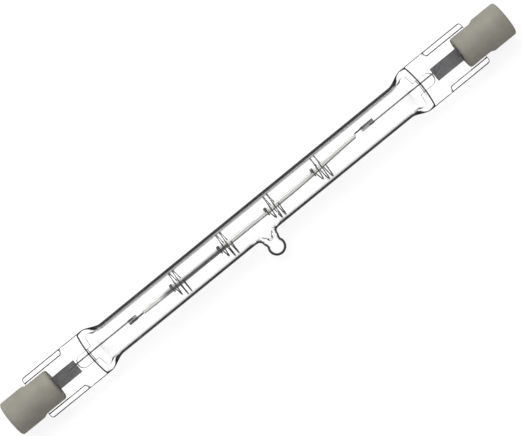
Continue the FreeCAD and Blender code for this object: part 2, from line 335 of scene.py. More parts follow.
def buildQuartz():
    # clear quartz with the faint waves of pressing; a tint draws the dark edges of glass on white, as
    # painted shade that darkens where the surface is seen at a grazing angle
    c = clear
    material, tree, shader = newMaterial("clearQuartz")
    tipWay = lying @ Vector((0, -1, 0))
    spot = addNode(tree, "ShaderNodeTexCoord", (-2100, 0)).outputs["Object"]
    turned = addNode(tree, "ShaderNodeNewGeometry", (-2100, 900)).outputs["Normal"]
    facing = addNode(tree, "ShaderNodeLayerWeight", (-1500, 1500), Blend=0.5).outputs["Facing"]

    # where a place lies on the glass
    x = addPart(tree, (-1900, 0), spot, "X")
    fromMiddle = addMath(tree, "SUBTRACT", (-1700, 0), x, lamp["glassShift"] * mm)
    reach = addMath(tree, "ABSOLUTE", (-1500, 0), fromMiddle)
    pressed = addRange(tree, (-1300, 0), reach, c["pressed"])
    inFlare = addRange(tree, (-1300, 300), reach, c["flare"])
    inFinger = addMath(tree, "COMPARE", (-1300, 550), reach, c["finger"], c["fingerHalf"])
    outward = addAlong(tree, (-1700, -300), spot, tipWay)
    atTip = addRange(tree, (-1300, -300), outward, c["tip"], c["tipShare"])
    solid = addMath(tree, "MAXIMUM", (-1100, -100), atTip, pressed)
    acrossX = addNode(tree, "ShaderNodeVectorMath", (-1700, -900), operation="MULTIPLY")
    feed(tree, acrossX.inputs, {0: spot, 1: (0, 1, 1)})
    fromAxis = addNode(tree, "ShaderNodeVectorMath", (-1500, -900), operation="LENGTH")
    feed(tree, fromAxis.inputs, {0: acrossX.outputs["Vector"]})
    onOutside = addRange(tree, (-1300, -900), fromAxis.outputs["Value"], c["outside"])
    # painted shade: the tube's upper side, away from the tip, darkens sooner, and on its inner wall too
    onUpper = addRange(tree, (-1300, -600), outward, c["upper"])
    onTube = addMath(tree, "SUBTRACT", (-1100, -600), 1.0, inFlare)
    upperTube = addMath(tree, "MULTIPLY", (-900, -600), onUpper, onTube)

    # how far the surface there turns away
    sideways = addMath(tree, "ABSOLUTE", (-1700, 900), addAlong(tree, (-1900, 900), turned, tipWay))
    endways = addMath(tree, "ABSOLUTE", (-1700, 1100), addPart(tree, (-1900, 1100), turned, "X"))
    flatWay = lying @ Vector((0, 0, 1))
    flat = addMath(tree, "ABSOLUTE", (-1700, 1300), addAlong(tree, (-1900, 1300), turned, flatWay))
    flatSlant = addMath(tree, "SUBTRACT", (-1500, 1300), 1.0, flat)
    leastSlant = addMath(tree, "MINIMUM", (-1300, 1300), facing, flatSlant)
    anySlant = addMix(tree, "FLOAT", (-1100, 1300), inFlare, facing, leastSlant)
    steepSide = addRange(tree, (-1500, 900), sideways, c["sideTurn"], c["sideGain"])
    steepEnd = addRange(tree, (-1500, 1100), endways, c["endTurn"], c["endGain"])
    steep = addMath(tree, "MAXIMUM", (-1300, 1000), steepSide, steepEnd)
    straight = addMath(tree, "MAXIMUM", (-1300, 800), sideways, endways)
    between = addRange(tree, (-1100, 800), straight, c["squareOn"])

    # the tint, painted shade of the edges: how soon it darkens, and where
    innerGain = addMath(tree, "MULTIPLY_ADD", (-1100, 550), inFinger, c["fingerGain"], c["sealGain"])
    flareGain = addMath(tree, "MULTIPLY", (-1100, 1000), steep, inFlare)
    gain = addMath(tree, "MULTIPLY_ADD", (-900, 600), solid, innerGain, flareGain)
    fullGain = addMath(tree, "MULTIPLY_ADD", (-700, 700), gain, between, 1.0)
    sooner = addMath(tree, "MULTIPLY", (-500, 900), fullGain, anySlant)
    soonest = addMath(tree, "MULTIPLY_ADD", (-300, 700), upperTube, c["upperGain"], sooner)
    upperInside = addMath(tree, "MULTIPLY", (-700, -600), upperTube, c["upperShare"])
    solidOrFlare = addMath(tree, "MAXIMUM", (-900, 0), solid, inFlare)
    insideToo = addMath(tree, "MAXIMUM", (-500, -300), upperInside, solidOrFlare)
    paintedShadeWalls = addMath(tree, "MAXIMUM", (-300, -300), onOutside, insideToo)
    edge = addNode(tree, "ShaderNodeValToRGB", (0, 500))
    fillRamp(edge, c["edgeStops"])
    feed(tree, edge.inputs, {"Fac": addMath(tree, "MULTIPLY", (-150, 500), soonest, paintedShadeWalls)})

    wave = addNode(tree, "ShaderNodeTexNoise", (-700, -900), Scale=c["waveSize"], Detail=2.5)
    haze = addNode(tree, "ShaderNodeTexNoise", (-700, -1200), Scale=c["hazeSize"], Detail=3.0)
    for texture in (wave, haze):
        feed(tree, texture.inputs, {"Vector": spot})
    bump = addNode(tree, "ShaderNodeBump", (0, -800), Strength=c["waveStrength"], Distance=c["waveDepth"])
    waves = addMath(tree, "MULTIPLY", (-300, -900), wave.outputs["Fac"], pressed)
    feed(tree, bump.inputs, {"Height": waves})
    shader.inputs["Base Color"].default_value = (1.0, 1.0, 1.0, 1.0)
    feed(tree, shader.inputs, {
        "Transmission Weight": 1.0,
        "Metallic": 0.0,
        "IOR": c["ior"],
        "Base Color": edge.outputs["Color"],
        "Normal": bump.outputs["Normal"],
        "Roughness": addRange(tree, (-300, -1200), haze.outputs["Fac"], c["hazeEdge"], c["hazeRough"]),
    })
    return material


quartz = buildQuartz()
steatite = groupMaterial("steatite", speckleGroup, {
    "Pale": (0.35, 0.343, 0.285, 1), "Dark": (0.265, 0.248, 0.212, 1),
    "Cloud Size": 300.0, "Grain Size": 4200.0, "Pit Amount": 0.35,
}, 0.35, 0.00006)
cement = groupMaterial("cappingCement", speckleGroup, {
    "Pale": (0.62, 0.6, 0.55, 1), "Dark": (0.42, 0.4, 0.36, 1),
    "Cloud Size": 900.0, "Grain Size": 2600.0, "Pit Amount": 0.9,
}, 0.8, 0.00015)
tungsten = groupMaterial("tungstenWire", wireGroup, {
    "Bright": (0.97, 0.97, 0.96, 1), "Stained": (0.85, 0.85, 0.84, 1),
    "Rough Low": 0.25, "Rough High": 0.45,
}, 0.15, 0.00001, 1.0)
supportMetal = groupMaterial("supportWire", wireGroup, {
    "Bright": (0.014, 0.014, 0.015, 1), "Stained": (0.005, 0.005, 0.006, 1),
    "Rough Low": 0.35, "Rough High": 0.55,
}, 0.15, 0.00001, 1.0, 0.1)
sleeveMetal = groupMaterial("sleeveWire", wireGroup, {
    "Bright": (0.03, 0.03, 0.032, 1), "Stained": (0.008, 0.008, 0.009, 1),
    "Rough Low": 0.3, "Rough High": 0.55,
}, 0.2, 0.00001, 1.0, 0.15)
leadMetal = groupMaterial("leadWire", wireGroup, {
    "Bright": (0.14, 0.14, 0.15, 1), "Stained": (0.05, 0.05, 0.055, 1),
    "Rough Low": 0.25, "Rough High": 0.45,
}, 0.15, 0.00001, 1.0)
foilMetal = groupMaterial("sealFoil", wireGroup, {
    "Bright": (0.24, 0.235, 0.24, 1), "Stained": (0.035, 0.035, 0.038, 1),
    "Streak Size": 5000.0, "Stain Size": 700.0, "Rough Low": 0.35, "Rough High": 0.6,
}, 0.3, 0.00002, 1.0)
contactMetal = groupMaterial("contactNickel", wireGroup, {
    "Bright": (0.7, 0.68, 0.63, 1), "Stained": (0.5, 0.48, 0.44, 1),
    "Stain Size": 900.0, "Rough Low": 0.2, "Rough High": 0.4,
}, 0.15, 0.00001, 1.0)
print("materials built")

# quartz envelope

glass = {
    "tubeRadius": 3.5,
    "boreRadius": 2.8,
    "flareStart": 34.3,
    "shoulder": 38.8,
    "sealEnd": 52.2,
    "sealWidth": 9.35,
    "webThick": 1.3,
    "railThick": 2.1,
    "railWidth": 0.95,
    "railSlope": 0.22,
    "railDelay": 4.4,
    "railRamp": 0.5,
    "bow": 0.45,
    "cornerRadius": 0.6,
    "edgeRound": 0.3,
    "edgeThin": 0.35,
    "spread": 0.85,
    "squeeze": 1.5,
    "lipFrom": 0.5,
    "bowFade": 3,
    "cavityEnd": 38.2,
    "cavityWidth": 7.0,
    "cavityGap": 0.56,
    "fingerWidth": 2.7,
    "fingerEnd": 42.4,
    "fingerBlend": 0.28,
    "fingerLow": 0.35,
    "cornerFrom": 0.85,
    "cornerLength": 0.3,
    "cornerMost": 0.75,
    "step": 0.5,
    "stepLength": 0.38,
    "around": 200,
    "patchAcross": 72,
    "patchAlong": 20,
    "patchHalf": 3.9,
    "endGap": 0.02,
}
tip = {
    "footRadius": 2.9,
    "footHeight": 0.75,
    "footStretch": 0.16,
    "waistRadius": 1.75,
    "neckRadius": 1.5,
    "ballRadius": lamp["tipBallRadius"],
    "ballCentre": lamp["tipBallCentre"] - 0.015,
    "holeFoot": 0.5,
    "holeRadius": 1.5,
    "holeEnd": 4.7,
    "holeTaper": 0.8,
    "holeFlare": 6,
    "poleRadius": 0.05,
    "footSteps": 12,
    "neckSteps": 5,
    "ballSteps": 20,
    "holeSteps": 18,
}


def outsideRing(x):
    g = glass
    reach = abs(x)
    u = (reach - g["flareStart"]) / (g["shoulder"] - g["flareStart"])
    halfWidth = mix(g["tubeRadius"], g["sealWidth"] / 2, smoothStep(u / g["spread"]))
    halfHeight = mix(g["tubeRadius"], g["webThick"] / 2, smoothStep(u))
    share = smoothStep(u) ** g["squeeze"]
    thin = 1.0
    lip = g["step"] * smoothStep((u - g["lipFrom"]) / (1 - g["lipFrom"]))
    lip *= smoothStep(1 - (reach - g["shoulder"]) / g["stepLength"])
    grown = min(max((reach - g["shoulder"] - g["railDelay"]) / g["railRamp"], 0), 1)
    railWidth = g["railWidth"] * math.sqrt(grown)
    bowed = g["bow"] * smoothStep(u) * smoothStep(1 - (reach - g["shoulder"]) / g["bowFade"])
    over = reach - (g["sealEnd"] - g["cornerRadius"])
    if over > 0:
        halfWidth -= g["cornerRadius"] - math.sqrt(max(g["cornerRadius"] ** 2 - over ** 2, 0))
    over = reach - (g["sealEnd"] - g["edgeRound"])
    if over > 0:
        thin = 1 - g["edgeThin"] * (1 - math.sqrt(max(1 - (over / g["edgeRound"]) ** 2, 0)))
    ring = []
    for k in range(g["around"]):
        turn = 2 * math.pi * k / g["around"]
        across = math.cos(turn)
        inward = g["sealWidth"] / 2 - abs(across) * halfWidth
        rail = smoothStep((railWidth + g["railSlope"] - inward) / g["railSlope"]) * smoothStep(grown * 2)
        thick = mix(g["webThick"] / 2, g["railThick"] / 2, rail) + lip * (1 - across ** 4)
        pressed = thick * max(1 - abs(across) ** 6, 0) ** (1 / 6) * thin
        pressed = math.copysign(pressed, math.sin(turn))
        z = mix(halfHeight * math.sin(turn), pressed, share)
        bend = math.copysign(bowed * (1 - across ** 2), x)
        ring.append((x + bend, halfWidth * across, z))
    return ring


def insideRing(x):
    g = glass
    reach = abs(x)
    u = (reach - g["flareStart"]) / (g["cavityEnd"] - g["flareStart"])
    halfWidth = mix(g["boreRadius"], g["cavityWidth"] / 2, smoothStep(u / g["spread"]))
    corner = max(0.0, (u - g["cornerFrom"]) / g["cornerLength"])
    halfWidth *= math.sqrt(1 - min(corner, g["cornerMost"]) ** 2)
    halfHeight = mix(g["boreRadius"], g["cavityGap"] / 2, smoothStep(u))
    past = smoothStep((reach - g["cavityEnd"]) / g["fingerBlend"])
    nose = reach - (g["fingerEnd"] - g["fingerWidth"] / 2)
    finger = math.sqrt(max((g["fingerWidth"] / 2) ** 2 - max(nose, 0) ** 2, 0))
    halfWidth = mix(halfWidth, finger, past)
    halfHeight *= min(1.0, g["fingerLow"] + finger / g["fingerWidth"] * 2)
    ring = []
    for k in range(g["around"]):
        turn = 2 * math.pi * k / g["around"]
        ring.append((x, halfWidth * math.cos(turn), halfHeight * math.sin(turn)))
    return ring


def stations(stops):
    # places along X from the middle to one end, then mirrored; each stop is (x, steps)
    places = []
    last = glass["patchHalf"]
    for stop, steps in stops:
        places += [mix(last, stop, k / steps) for k in range(1, steps + 1)]
        last = stop
    patch = glass["patchHalf"]
    middle = [mix(-patch, patch, k / glass["patchAlong"]) for k in range(glass["patchAlong"] + 1)]
    return [-x for x in reversed(places)] + middle + places


def sidePatch(places):
    # quads round the foot of the tip, on the -Y side of the tube
    first = places.index(-glass["patchHalf"])
    half = glass["patchAcross"] // 2
    centre = glass["around"] // 2
    rows = range(first, first + glass["patchAlong"])
    columns = range(centre - half, centre + half)
    border = [(first, c) for c in range(centre - half, centre + half)]
    border += [(r, centre + half) for r in range(first, first + glass["patchAlong"])]
    last = first + glass["patchAlong"]
    border += [(last, c) for c in range(centre + half, centre - half, -1)]
    border += [(r, centre - half) for r in range(last, first, -1)]
    return (lambda i, k: i in rows and k in columns), border


def growStalk(start, border, profile, radius, stretch, verts, faces):
    # rings that climb from the tube's wall; profile is (ring radius, height, share off the wall)
    count = glass["around"]
    last = [start + row * count + column for row, column in border]
    angles = [math.atan2(verts[v][2], verts[v][0]) for v in last]
    for ringRadius, height, off in profile:
        base = len(verts)
        for angle in angles:
            x = ringRadius * math.cos(angle)
            z = ringRadius * math.sin(angle)
            wall = math.sqrt(radius ** 2 - z ** 2)
            x *= 1 + stretch * (1 - off) * max(-math.cos(angle), 0)
            verts.append((x, -mix(wall, height, off), z))
        ring = [base + k for k in range(len(angles))]
        for k in range(len(ring)):
            m = (k + 1) % len(ring)
            faces.append((last[k], last[m], ring[m], ring[k]))
        last = ring
    verts.append((0, -profile[-1][1], 0))
    for k in range(len(last)):
        faces.append((last[k], last[(k + 1) % len(last)], len(verts) - 1))


def buildEnvelope():
    g = glass
    verts = []
    faces = []
    places = stations([
        (g["flareStart"], 30),
        (g["shoulder"], 26),
        (g["shoulder"] + g["stepLength"], 6),
        (g["shoulder"] + g["railDelay"], 10),
        (g["shoulder"] + g["railDelay"] + g["railRamp"], 8),
        (g["sealEnd"] - g["cornerRadius"], 16),
        (g["sealEnd"] - g["endGap"], 8),
    ])
    rings = [outsideRing(x) for x in places]
    skip, border = sidePatch(places)
    start = skinRings(rings, verts, faces, skip)
    closeRing(start, g["around"], verts, faces)
    closeRing(start + (len(rings) - 1) * g["around"], g["around"], verts, faces)
    join = tip["ballCentre"] - math.sqrt(tip["ballRadius"] ** 2 - tip["neckRadius"] ** 2)
    profile = [(tip["footRadius"], 0, 0)]
    for k in range(1, tip["footSteps"] + 1):
        turn = math.pi / 2 * k / tip["footSteps"]
        radius = mix(tip["footRadius"], tip["waistRadius"], math.sin(turn))
        height = g["tubeRadius"] + tip["footHeight"] * (1 - math.cos(turn))
        profile.append((radius, height, smoothStep(k / tip["footSteps"])))
    for k in range(1, tip["neckSteps"] + 1):
        u = k / tip["neckSteps"]
        radius = mix(tip["waistRadius"], tip["neckRadius"], smoothStep(u))
        profile.append((radius, mix(g["tubeRadius"] + tip["footHeight"], join, u), 1))
    low = math.asin(tip["neckRadius"] / tip["ballRadius"])
    for k in range(1, tip["ballSteps"]):
        turn = mix(low, math.pi, k / tip["ballSteps"])
        radius = tip["ballRadius"] * math.sin(turn)
        profile.append((radius, tip["ballCentre"] - tip["ballRadius"] * math.cos(turn), 1))
    profile.append((tip["poleRadius"], tip["ballCentre"] + tip["ballRadius"], 1))
    growStalk(start, border, profile, g["tubeRadius"], tip["footStretch"], verts, faces)
    outsideFaces = len(faces)

    places = stations([
        (g["flareStart"], 30),
        (g["cavityEnd"], 24),
        (g["fingerEnd"] - g["fingerWidth"] / 2, 12),
        (g["fingerEnd"] - g["endGap"], 10),
    ])
    rings = [insideRing(x) for x in places]
    skip, border = sidePatch(places)
    start = skinRings(rings, verts, faces, skip)
    closeRing(start, g["around"], verts, faces)
    closeRing(start + (len(rings) - 1) * g["around"], g["around"], verts, faces)
    profile = []
    for k in range(tip["holeSteps"]):
        u = k / tip["holeSteps"]
        radius = tip["holeRadius"] * (1 - u) ** tip["holeTaper"]
        radius += tip["holeFoot"] * (1 - u) ** tip["holeFlare"]
        profile.append((radius, mix(g["boreRadius"], tip["holeEnd"], u), smoothStep(u * 3)))
    growStalk(start, border, profile, g["boreRadius"], 0, verts, faces)
    shifted = [(v[0] + lamp["glassShift"], v[1], v[2]) for v in verts]
    newPiece("envelopeGlass", shifted, faces, quartz, "quartz_envelope", None, outsideFaces)


buildEnvelope()
print("quartz envelope built")

# filament, sleeves and supports

filament = {
    "coilRadius": 0.5,
    "wireRadius": 0.095,
    "pitch": 0.22,
    "steps": 16,
    "sides": 7,
    "leftEnd": -28.75,
    "rightEnd": 25.1,
    "tailGap": 1.4,
    "tailInside": 1.2,
    "legRadius": 0.11,
    "legPitch": 0.21,
    "legSteps": 10,
    "riseStart": 7.0,
    "settled": -18.5,
}
sleeve = {
    "left": (-30.7, -28.75),
    "right": (25.1, 28.1),
    "outside": 0.53,
    "wireRadius": 0.05,
    "pitch": 0.13,
    "steps": 24,
    "sides": 6,
    "bore": 0.43,
}
lead = {"radius": 0.15, "side": 0.42, "foilTop": -0.2, "bite": 0.2}
leadHeight = lead["foilTop"] + (1 - lead["bite"]) * lead["radius"]
sleeveSide = sleeve["bore"] - lead["radius"]

# places are in metres; the dark run lies along X, the others are off the coil's own axis
wireShade = {
    "legBlend": 0.1,
    "legDark": 0.97,
    "paintedUnderShade": (0.00031, 0.00036),
    "underDark": 0.97,
    "core": (-0.00045, 0.00005),
    "coreDark": 0.93,
    "runStart": (-0.0235, -0.0215),
    "runStop": (-0.0072, -0.0076),
    "darkColour": (0.01, 0.01, 0.011, 1),
}


def darkenTungsten(material):
    # darkens the legs and the coil's left run up to the second support, and paints shade along the coil's
    # side towards the tip
    f = filament
    w = wireShade
    tree = material.node_tree
    spot = addNode(tree, "ShaderNodeTexCoord", (-1700, 500)).outputs["Object"]
    x = addPart(tree, (-1500, 300), spot, "X")
    outward = addAlong(tree, (-1500, 700), spot, lying @ Vector((0, -1, 0)))

    # the coil drifts off the lamp's axis at both ends, as in filamentSide
    leftSpan = (f["settled"] * mm, f["leftEnd"] * mm)
    rightSpan = (f["riseStart"] * mm, f["rightEnd"] * mm)
    smooth = {"interpolation_type": "SMOOTHSTEP"}
    leftSide = addRange(tree, (-1300, 900), x, leftSpan, (lead["side"] - sleeveSide) * mm, **smooth)
    rightSide = addRange(tree, (-1300, 1200), x, rightSpan, (lead["side"] + sleeveSide) * mm, **smooth)
    eitherSide = addMath(tree, "ADD", (-1100, 1000), leftSide, rightSide)
    fromCoil = addMath(tree, "ADD", (-900, 800), outward, eitherSide)

    middle = (f["leftEnd"] + f["rightEnd"]) / 2 * mm
    halfCoil = (f["rightEnd"] - f["leftEnd"]) / 2 - f["tailGap"]
    legSpan = ((halfCoil - w["legBlend"]) * mm, (halfCoil + w["legBlend"]) * mm)
    reach = addMath(tree, "ABSOLUTE", (-1100, 400), addMath(tree, "SUBTRACT", (-1300, 400), x, middle))
    leg = addRange(tree, (-900, 400), reach, legSpan, w["legDark"])
    # painted shade: a dark band along the coil's side towards the tip
    paintedUnderShade = addRange(tree, (-700, 700), fromCoil, w["paintedUnderShade"], w["underDark"])
    core = addRange(tree, (-700, 1000), fromCoil, w["core"], w["coreDark"])
    started = addRange(tree, (-1300, 100), x, w["runStart"])
    stopped = addRange(tree, (-1300, -200), x, w["runStop"])
    run = addMath(tree, "MULTIPLY", (-1100, 0), started, stopped)
    darkRun = addMath(tree, "MULTIPLY", (-500, 200), run, core)
    legOrUnder = addMath(tree, "MAXIMUM", (-500, 500), paintedUnderShade, leg)
    darkness = addMath(tree, "MAXIMUM", (-300, 400), legOrUnder, darkRun)
    bare = tree.nodes["Group"].outputs["Color"]
    colour = addMix(tree, "RGBA", (0, 300), darkness, bare, w["darkColour"])
    feed(tree, tree.nodes["Principled BSDF"].inputs, {"Base Color": colour})


darkenTungsten(tungsten)


def filamentSide(x):
    left = lead["side"] - sleeveSide
    right = lead["side"] + sleeveSide
    if x < filament["riseStart"]:
        span = filament["settled"] - filament["leftEnd"]
        return mix(left, 0.0, smoothStep((x - filament["leftEnd"]) / span))
    climb = (x - filament["riseStart"]) / (filament["rightEnd"] - filament["riseStart"])
    return mix(0.0, right, smoothStep(climb))


def buildFilament():
    f = filament
    x0 = f["leftEnd"] + f["tailGap"]
    x1 = f["rightEnd"] - f["tailGap"]
    turns = int((x1 - x0) / f["pitch"])
    steps = turns * f["steps"] + f["steps"] // 2
    tailRadius = sleeve["bore"] - f["wireRadius"] - 2 * f["legRadius"]
    tailIn = f["leftEnd"] - f["tailInside"]
    tailOut = f["rightEnd"] + f["tailInside"]
    legSteps = int((x0 - tailIn) / f["legPitch"]) * f["legSteps"]
    points = []
    for k in range(legSteps):
        turn = 2 * math.pi * k / f["legSteps"]
        x = mix(tailIn, x0, k / legSteps)
        y = filamentSide(x) - tailRadius - f["legRadius"] * (1 - math.cos(turn))
        points.append((x, y, leadHeight + f["legRadius"] * math.sin(turn)))
    for k in range(steps + 1):
        turn = 2 * math.pi * k / f["steps"]
        away = min(k, steps - k) / f["steps"]
        radius = mix(tailRadius, f["coilRadius"], smoothStep(away))
        lift = mix(leadHeight, 0.0, smoothStep(away))
        x = mix(x0, x1, k / steps)
        points.append((x, filamentSide(x) - radius * math.cos(turn), lift + radius * math.sin(turn)))
    for k in range(1, legSteps + 1):
        turn = 2 * math.pi * k / f["legSteps"]
        x = mix(x1, tailOut, k / legSteps)
        y = filamentSide(x) + tailRadius + f["legRadius"] * (1 - math.cos(turn))
        points.append((x, y, leadHeight + f["legRadius"] * math.sin(turn)))
    verts = []
    faces = []
    skinWire(points, f["wireRadius"], f["sides"], verts, faces)
    newPiece("filamentCoil", verts, faces, tungsten, "filament")


def buildSleeve(side, middle):
    x0, x1 = sleeve[side]
    radius = sleeve["outside"] - sleeve["wireRadius"]
    turns = int((x1 - x0 - 2 * sleeve["wireRadius"]) / sleeve["pitch"])
    steps = turns * sleeve["steps"]
    points = []
    for k in range(steps + 1):
        turn = 2 * math.pi * k / sleeve["steps"]
        x = mix(x0 + sleeve["wireRadius"], x1 - sleeve["wireRadius"], k / steps)
        points.append((x, middle + radius * math.cos(turn), leadHeight + radius * math.sin(turn)))
    verts = []
    faces = []
    skinWire(points, sleeve["wireRadius"], sleeve["sides"], verts, faces)
    newPiece("sleeveCoil_" + side, verts, faces, sleeveMetal, "sleeve_" + side)


support = {
    "count": 4,
    "pitch": 11.2,
    "first": -18.5,
    "wireRadius": 0.12,
    "ringTurns": 2.0,
    "ringPitch": 0.85,
    "gripTurns": 1.5,
    "gripPitch": 0.3,
    "gripClearance": 0.06,
    "armTurns": 0.5,
    "armStep": 0.75,
    "clearance": 0.04,
    "steps": 48,
    "sides": 8,
    "solidWire": 0.1,
}


def buildSupport(number):
    s = support
    middle = s["first"] + number * s["pitch"]
    ringRadius = glass["boreRadius"] - s["wireRadius"] - s["clearance"]
    gripRadius = filament["coilRadius"] + s["solidWire"] + s["wireRadius"] + s["gripClearance"]
    start = middle - s["ringTurns"] * s["ringPitch"] / 2 - s["armStep"]
    side = filamentSide(start)
    x = start - s["gripTurns"] * s["gripPitch"]
    total = s["gripTurns"] + s["armTurns"] + s["ringTurns"]
    steps = int(round(total * s["steps"]))
    points = []
    for k in range(steps + 1):
        turned = total * k / steps
        out = smoothStep((turned - s["gripTurns"]) / s["armTurns"])
        radius = mix(gripRadius, ringRadius, out)
        angle = 2 * math.pi * turned
        points.append((x, mix(side, 0.0, out) + radius * math.sin(angle), radius * math.cos(angle)))
        if turned < s["gripTurns"]:
            x += s["gripPitch"] / s["steps"]
        elif turned < s["gripTurns"] + s["armTurns"]:
            x += s["armStep"] / s["armTurns"] / s["steps"]
        else:
            x += s["ringPitch"] / s["steps"]
    verts = []
    faces = []
    skinWire(points, s["wireRadius"], s["sides"], verts, faces)
    name = "filament_support_%d" % (number + 1)
    newPiece("supportSpiral_%d" % (number + 1), verts, faces, supportMetal, name)


buildFilament()
buildSleeve("left", lead["side"] - sleeveSide)
buildSleeve("right", lead["side"] + sleeveSide)
for number in range(support["count"]):
    buildSupport(number)
print("filament, sleeves and supports built")

# ceramic caps

cap = {
    "radius": lamp["capRadius"],
    "face": lamp["halfLength"],
    "length": 10.6,
    "flats": 3.25,
    "head": 4.85,
    "slope": 1.0,
    "edge": 0.45,
    "innerEdge": 0.6,
    "slotEnd": 53.1,
    "slotGap": 2.6,
    "recessRadius": 1.9,
    "seatRadius": 1.4,
    "contactFace": 57.1,
    "contactBack": 56.6,
    "lip": 0.3,
    "holeRadius": 0.75,
    "flatPoints": 10,
    "roundPoints": 26,
    "core": 0.4,
    "faceCore": 2.0,
    "sharp": 35,
    "leastCut": 0.02,
    "clearOfHead": 0.05,
    "overrun": 1,
}


def capRing(x, radius, flat):
    # circle with its two sides cut off at y = +-flat
    c = cap
    cut = math.acos(min(flat / radius, 1.0)) if radius > 0 else 0.0
    cut = max(cut, c["leastCut"])
    angles = [mix(-cut, cut, k / c["flatPoints"]) for k in range(c["flatPoints"])]
    angles += [mix(cut, math.pi - cut, k / c["roundPoints"]) for k in range(c["roundPoints"])]
    angles += [math.pi + a for a in angles]
    ring = []
    for angle in angles:
        y = min(max(radius * math.cos(angle), -flat), flat)
        ring.append((x, y, radius * math.sin(angle)))
    return ring


def buildCap(name, sign):
    c = cap
    inner = c["face"] - c["length"]
    step = c["face"] - c["head"]
    profile = [(inner, c["core"]), (inner, c["faceCore"])]
    for k in range(5):
        turn = math.pi / 2 * k / 4
        radius = c["radius"] - c["innerEdge"] * (1 - math.sin(turn))
        profile.append((inner + c["innerEdge"] * (1 - math.cos(turn)), radius))
    profile += [(mix(inner + 1, step - c["slope"], k / 3), c["radius"]) for k in range(4)]
    profile += [(mix(step - c["slope"], step, k / 6), c["radius"]) for k in range(1, 7)]
    profile += [(mix(step, c["face"] - c["edge"], k / 3), c["radius"]) for k in range(1, 4)]
    for k in range(1, 6):
        turn = math.pi / 2 * k / 5
        radius = c["radius"] - c["edge"] * (1 - math.cos(turn))
        profile.append((c["face"] - c["edge"] * (1 - math.sin(turn)), radius))
    profile.append((c["face"], c["recessRadius"] + c["lip"]))
    for k in range(1, 4):
        turn = math.pi / 2 * k / 3
        radius = c["recessRadius"] + c["lip"] * (1 - math.sin(turn))
        profile.append((c["face"] - c["lip"] * (1 - math.cos(turn)), radius))
    profile += [(c["contactFace"], c["recessRadius"]), (c["contactFace"], c["seatRadius"])]
    profile += [(c["contactBack"], c["seatRadius"]), (c["contactBack"], c["holeRadius"])]
    profile += [(c["slotEnd"] - c["overrun"], c["holeRadius"]), (c["slotEnd"] - c["overrun"], c["core"])]
    rings = []
    for x, radius in profile:
        inHead = smoothStep((x - (step - c["slope"])) / c["slope"])
        flat = mix(c["flats"], c["radius"] + c["clearOfHead"], inHead)
        rimCut = max(0.0, inner + c["innerEdge"] - x)
        flat -= c["innerEdge"] - math.sqrt(max(c["innerEdge"] ** 2 - rimCut ** 2, 0))
        rings.append(capRing(sign * x, radius, flat))
    verts = []
    faces = []
    start = skinRings(rings, verts, faces)
    count = len(rings[0])
    closeRing(start, count, verts, faces)
    closeRing(start + (len(rings) - 1) * count, count, verts, faces)
    node = "ceramic_cap_" + name
    piece = newPiece("capBody_" + name, verts, faces, steatite, node, c["sharp"])
    cutSlot(piece, sign)


def cutSlot(piece, sign):
    c = cap
    corners = []
    for x in (c["face"] - c["length"] - c["overrun"], c["slotEnd"]):
        for y in (-c["radius"] - c["overrun"], c["radius"] + c["overrun"]):
            for z in (-c["slotGap"] / 2, c["slotGap"] / 2):
                corners.append(lying @ (Vector((sign * x, y, z)) * mm))
    mesh = bpy.data.meshes.new("slotCutter")
    quads = [(0, 1, 3, 2), (4, 6, 7, 5), (0, 4, 5, 1), (2, 3, 7, 6), (0, 2, 6, 4), (1, 5, 7, 3)]
    mesh.from_pydata(corners, [], quads)
    bm = bmesh.new()
    bm.from_mesh(mesh)
    bmesh.ops.recalc_face_normals(bm, faces=bm.faces)
    bm.to_mesh(mesh)
    bm.free()
    cutter = bpy.data.objects.new("slotCutter", mesh)
    bpy.context.scene.collection.objects.link(cutter)
    modifier = piece.modifiers.new("slot", "BOOLEAN")
    modifier.object = cutter
    modifier.operation = "DIFFERENCE"
    modifier.solver = "EXACT"
    graph = bpy.context.evaluated_depsgraph_get()
    result = bpy.data.meshes.new_from_object(piece.evaluated_get(graph))
    piece.modifiers.clear()
    piece.data = result
    bpy.data.objects.remove(cutter)
    bm = bmesh.new()
    bm.from_mesh(result)
    bmesh.ops.remove_doubles(bm, verts=bm.verts, dist=1e-8)
    for edge in bm.edges:
        bend = edge.calc_face_angle(0) if len(edge.link_faces) == 2 else 0
        edge.smooth = bend < math.radians(c["sharp"])
    bm.to_mesh(result)
    bm.free()


buildCap("left", -1)
buildCap("right", 1)
print("caps built")

# finishes of the parts kept as they are

kept = {
    "inner_lead": leadMetal,
    "outer_lead": leadMetal,
    "molybdenum_foil": foilMetal,
    "contact": contactMetal,
    "cap_cement": cement,
}
for kind, material in kept.items():
    for side in ("left", "right"):
        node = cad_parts[kind + "_" + side]
        node.data.materials.clear()
        node.data.materials.append(material)
print("kept parts finished")

# studio

view = {
    "distance": 0.45,
    "lens": 167.9,
    "sensor": 36,
    "near": 0.01,
    "far": 20,
    "lean": 39.2,
    "pixel": 0.1849,
    "shiftRight": 3.0,
    "shiftUp": 0.8,
}


def buildCamera():
    # looks along the seals' normal; the shifts are in pixels of the photo
    lean = math.radians(view["lean"])
    axis = Vector((1, 0, 0))
    tipWay = (lying @ Vector((0, -1, 0))).normalized()
    normal = (lying @ Vector((0, 0, 1))).normalized()
    right = axis * math.cos(lean) + tipWay * math.sin(lean)
    up = axis * math.sin(lean) - tipWay * math.cos(lean)
    data = bpy.data.cameras.new("photoCamera")
    data.lens = view["lens"]
    data.sensor_width = view["sensor"]
    data.clip_start = view["near"]
    data.clip_end = view["far"]
    camera = bpy.data.objects.new("photoCamera", data)
    bpy.context.scene.collection.objects.link(camera)
    shiftRight = view["shiftRight"] * view["pixel"] * mm
    shiftUp = view["shiftUp"] * view["pixel"] * mm
    place = normal * view["distance"] + right * shiftRight + up * shiftUp
    turn = Matrix((right, up, normal)).transposed().to_4x4()
    camera.matrix_world = Matrix.Translation(place) @ turn
    bpy.context.scene.camera = camera
    return right, up, normal


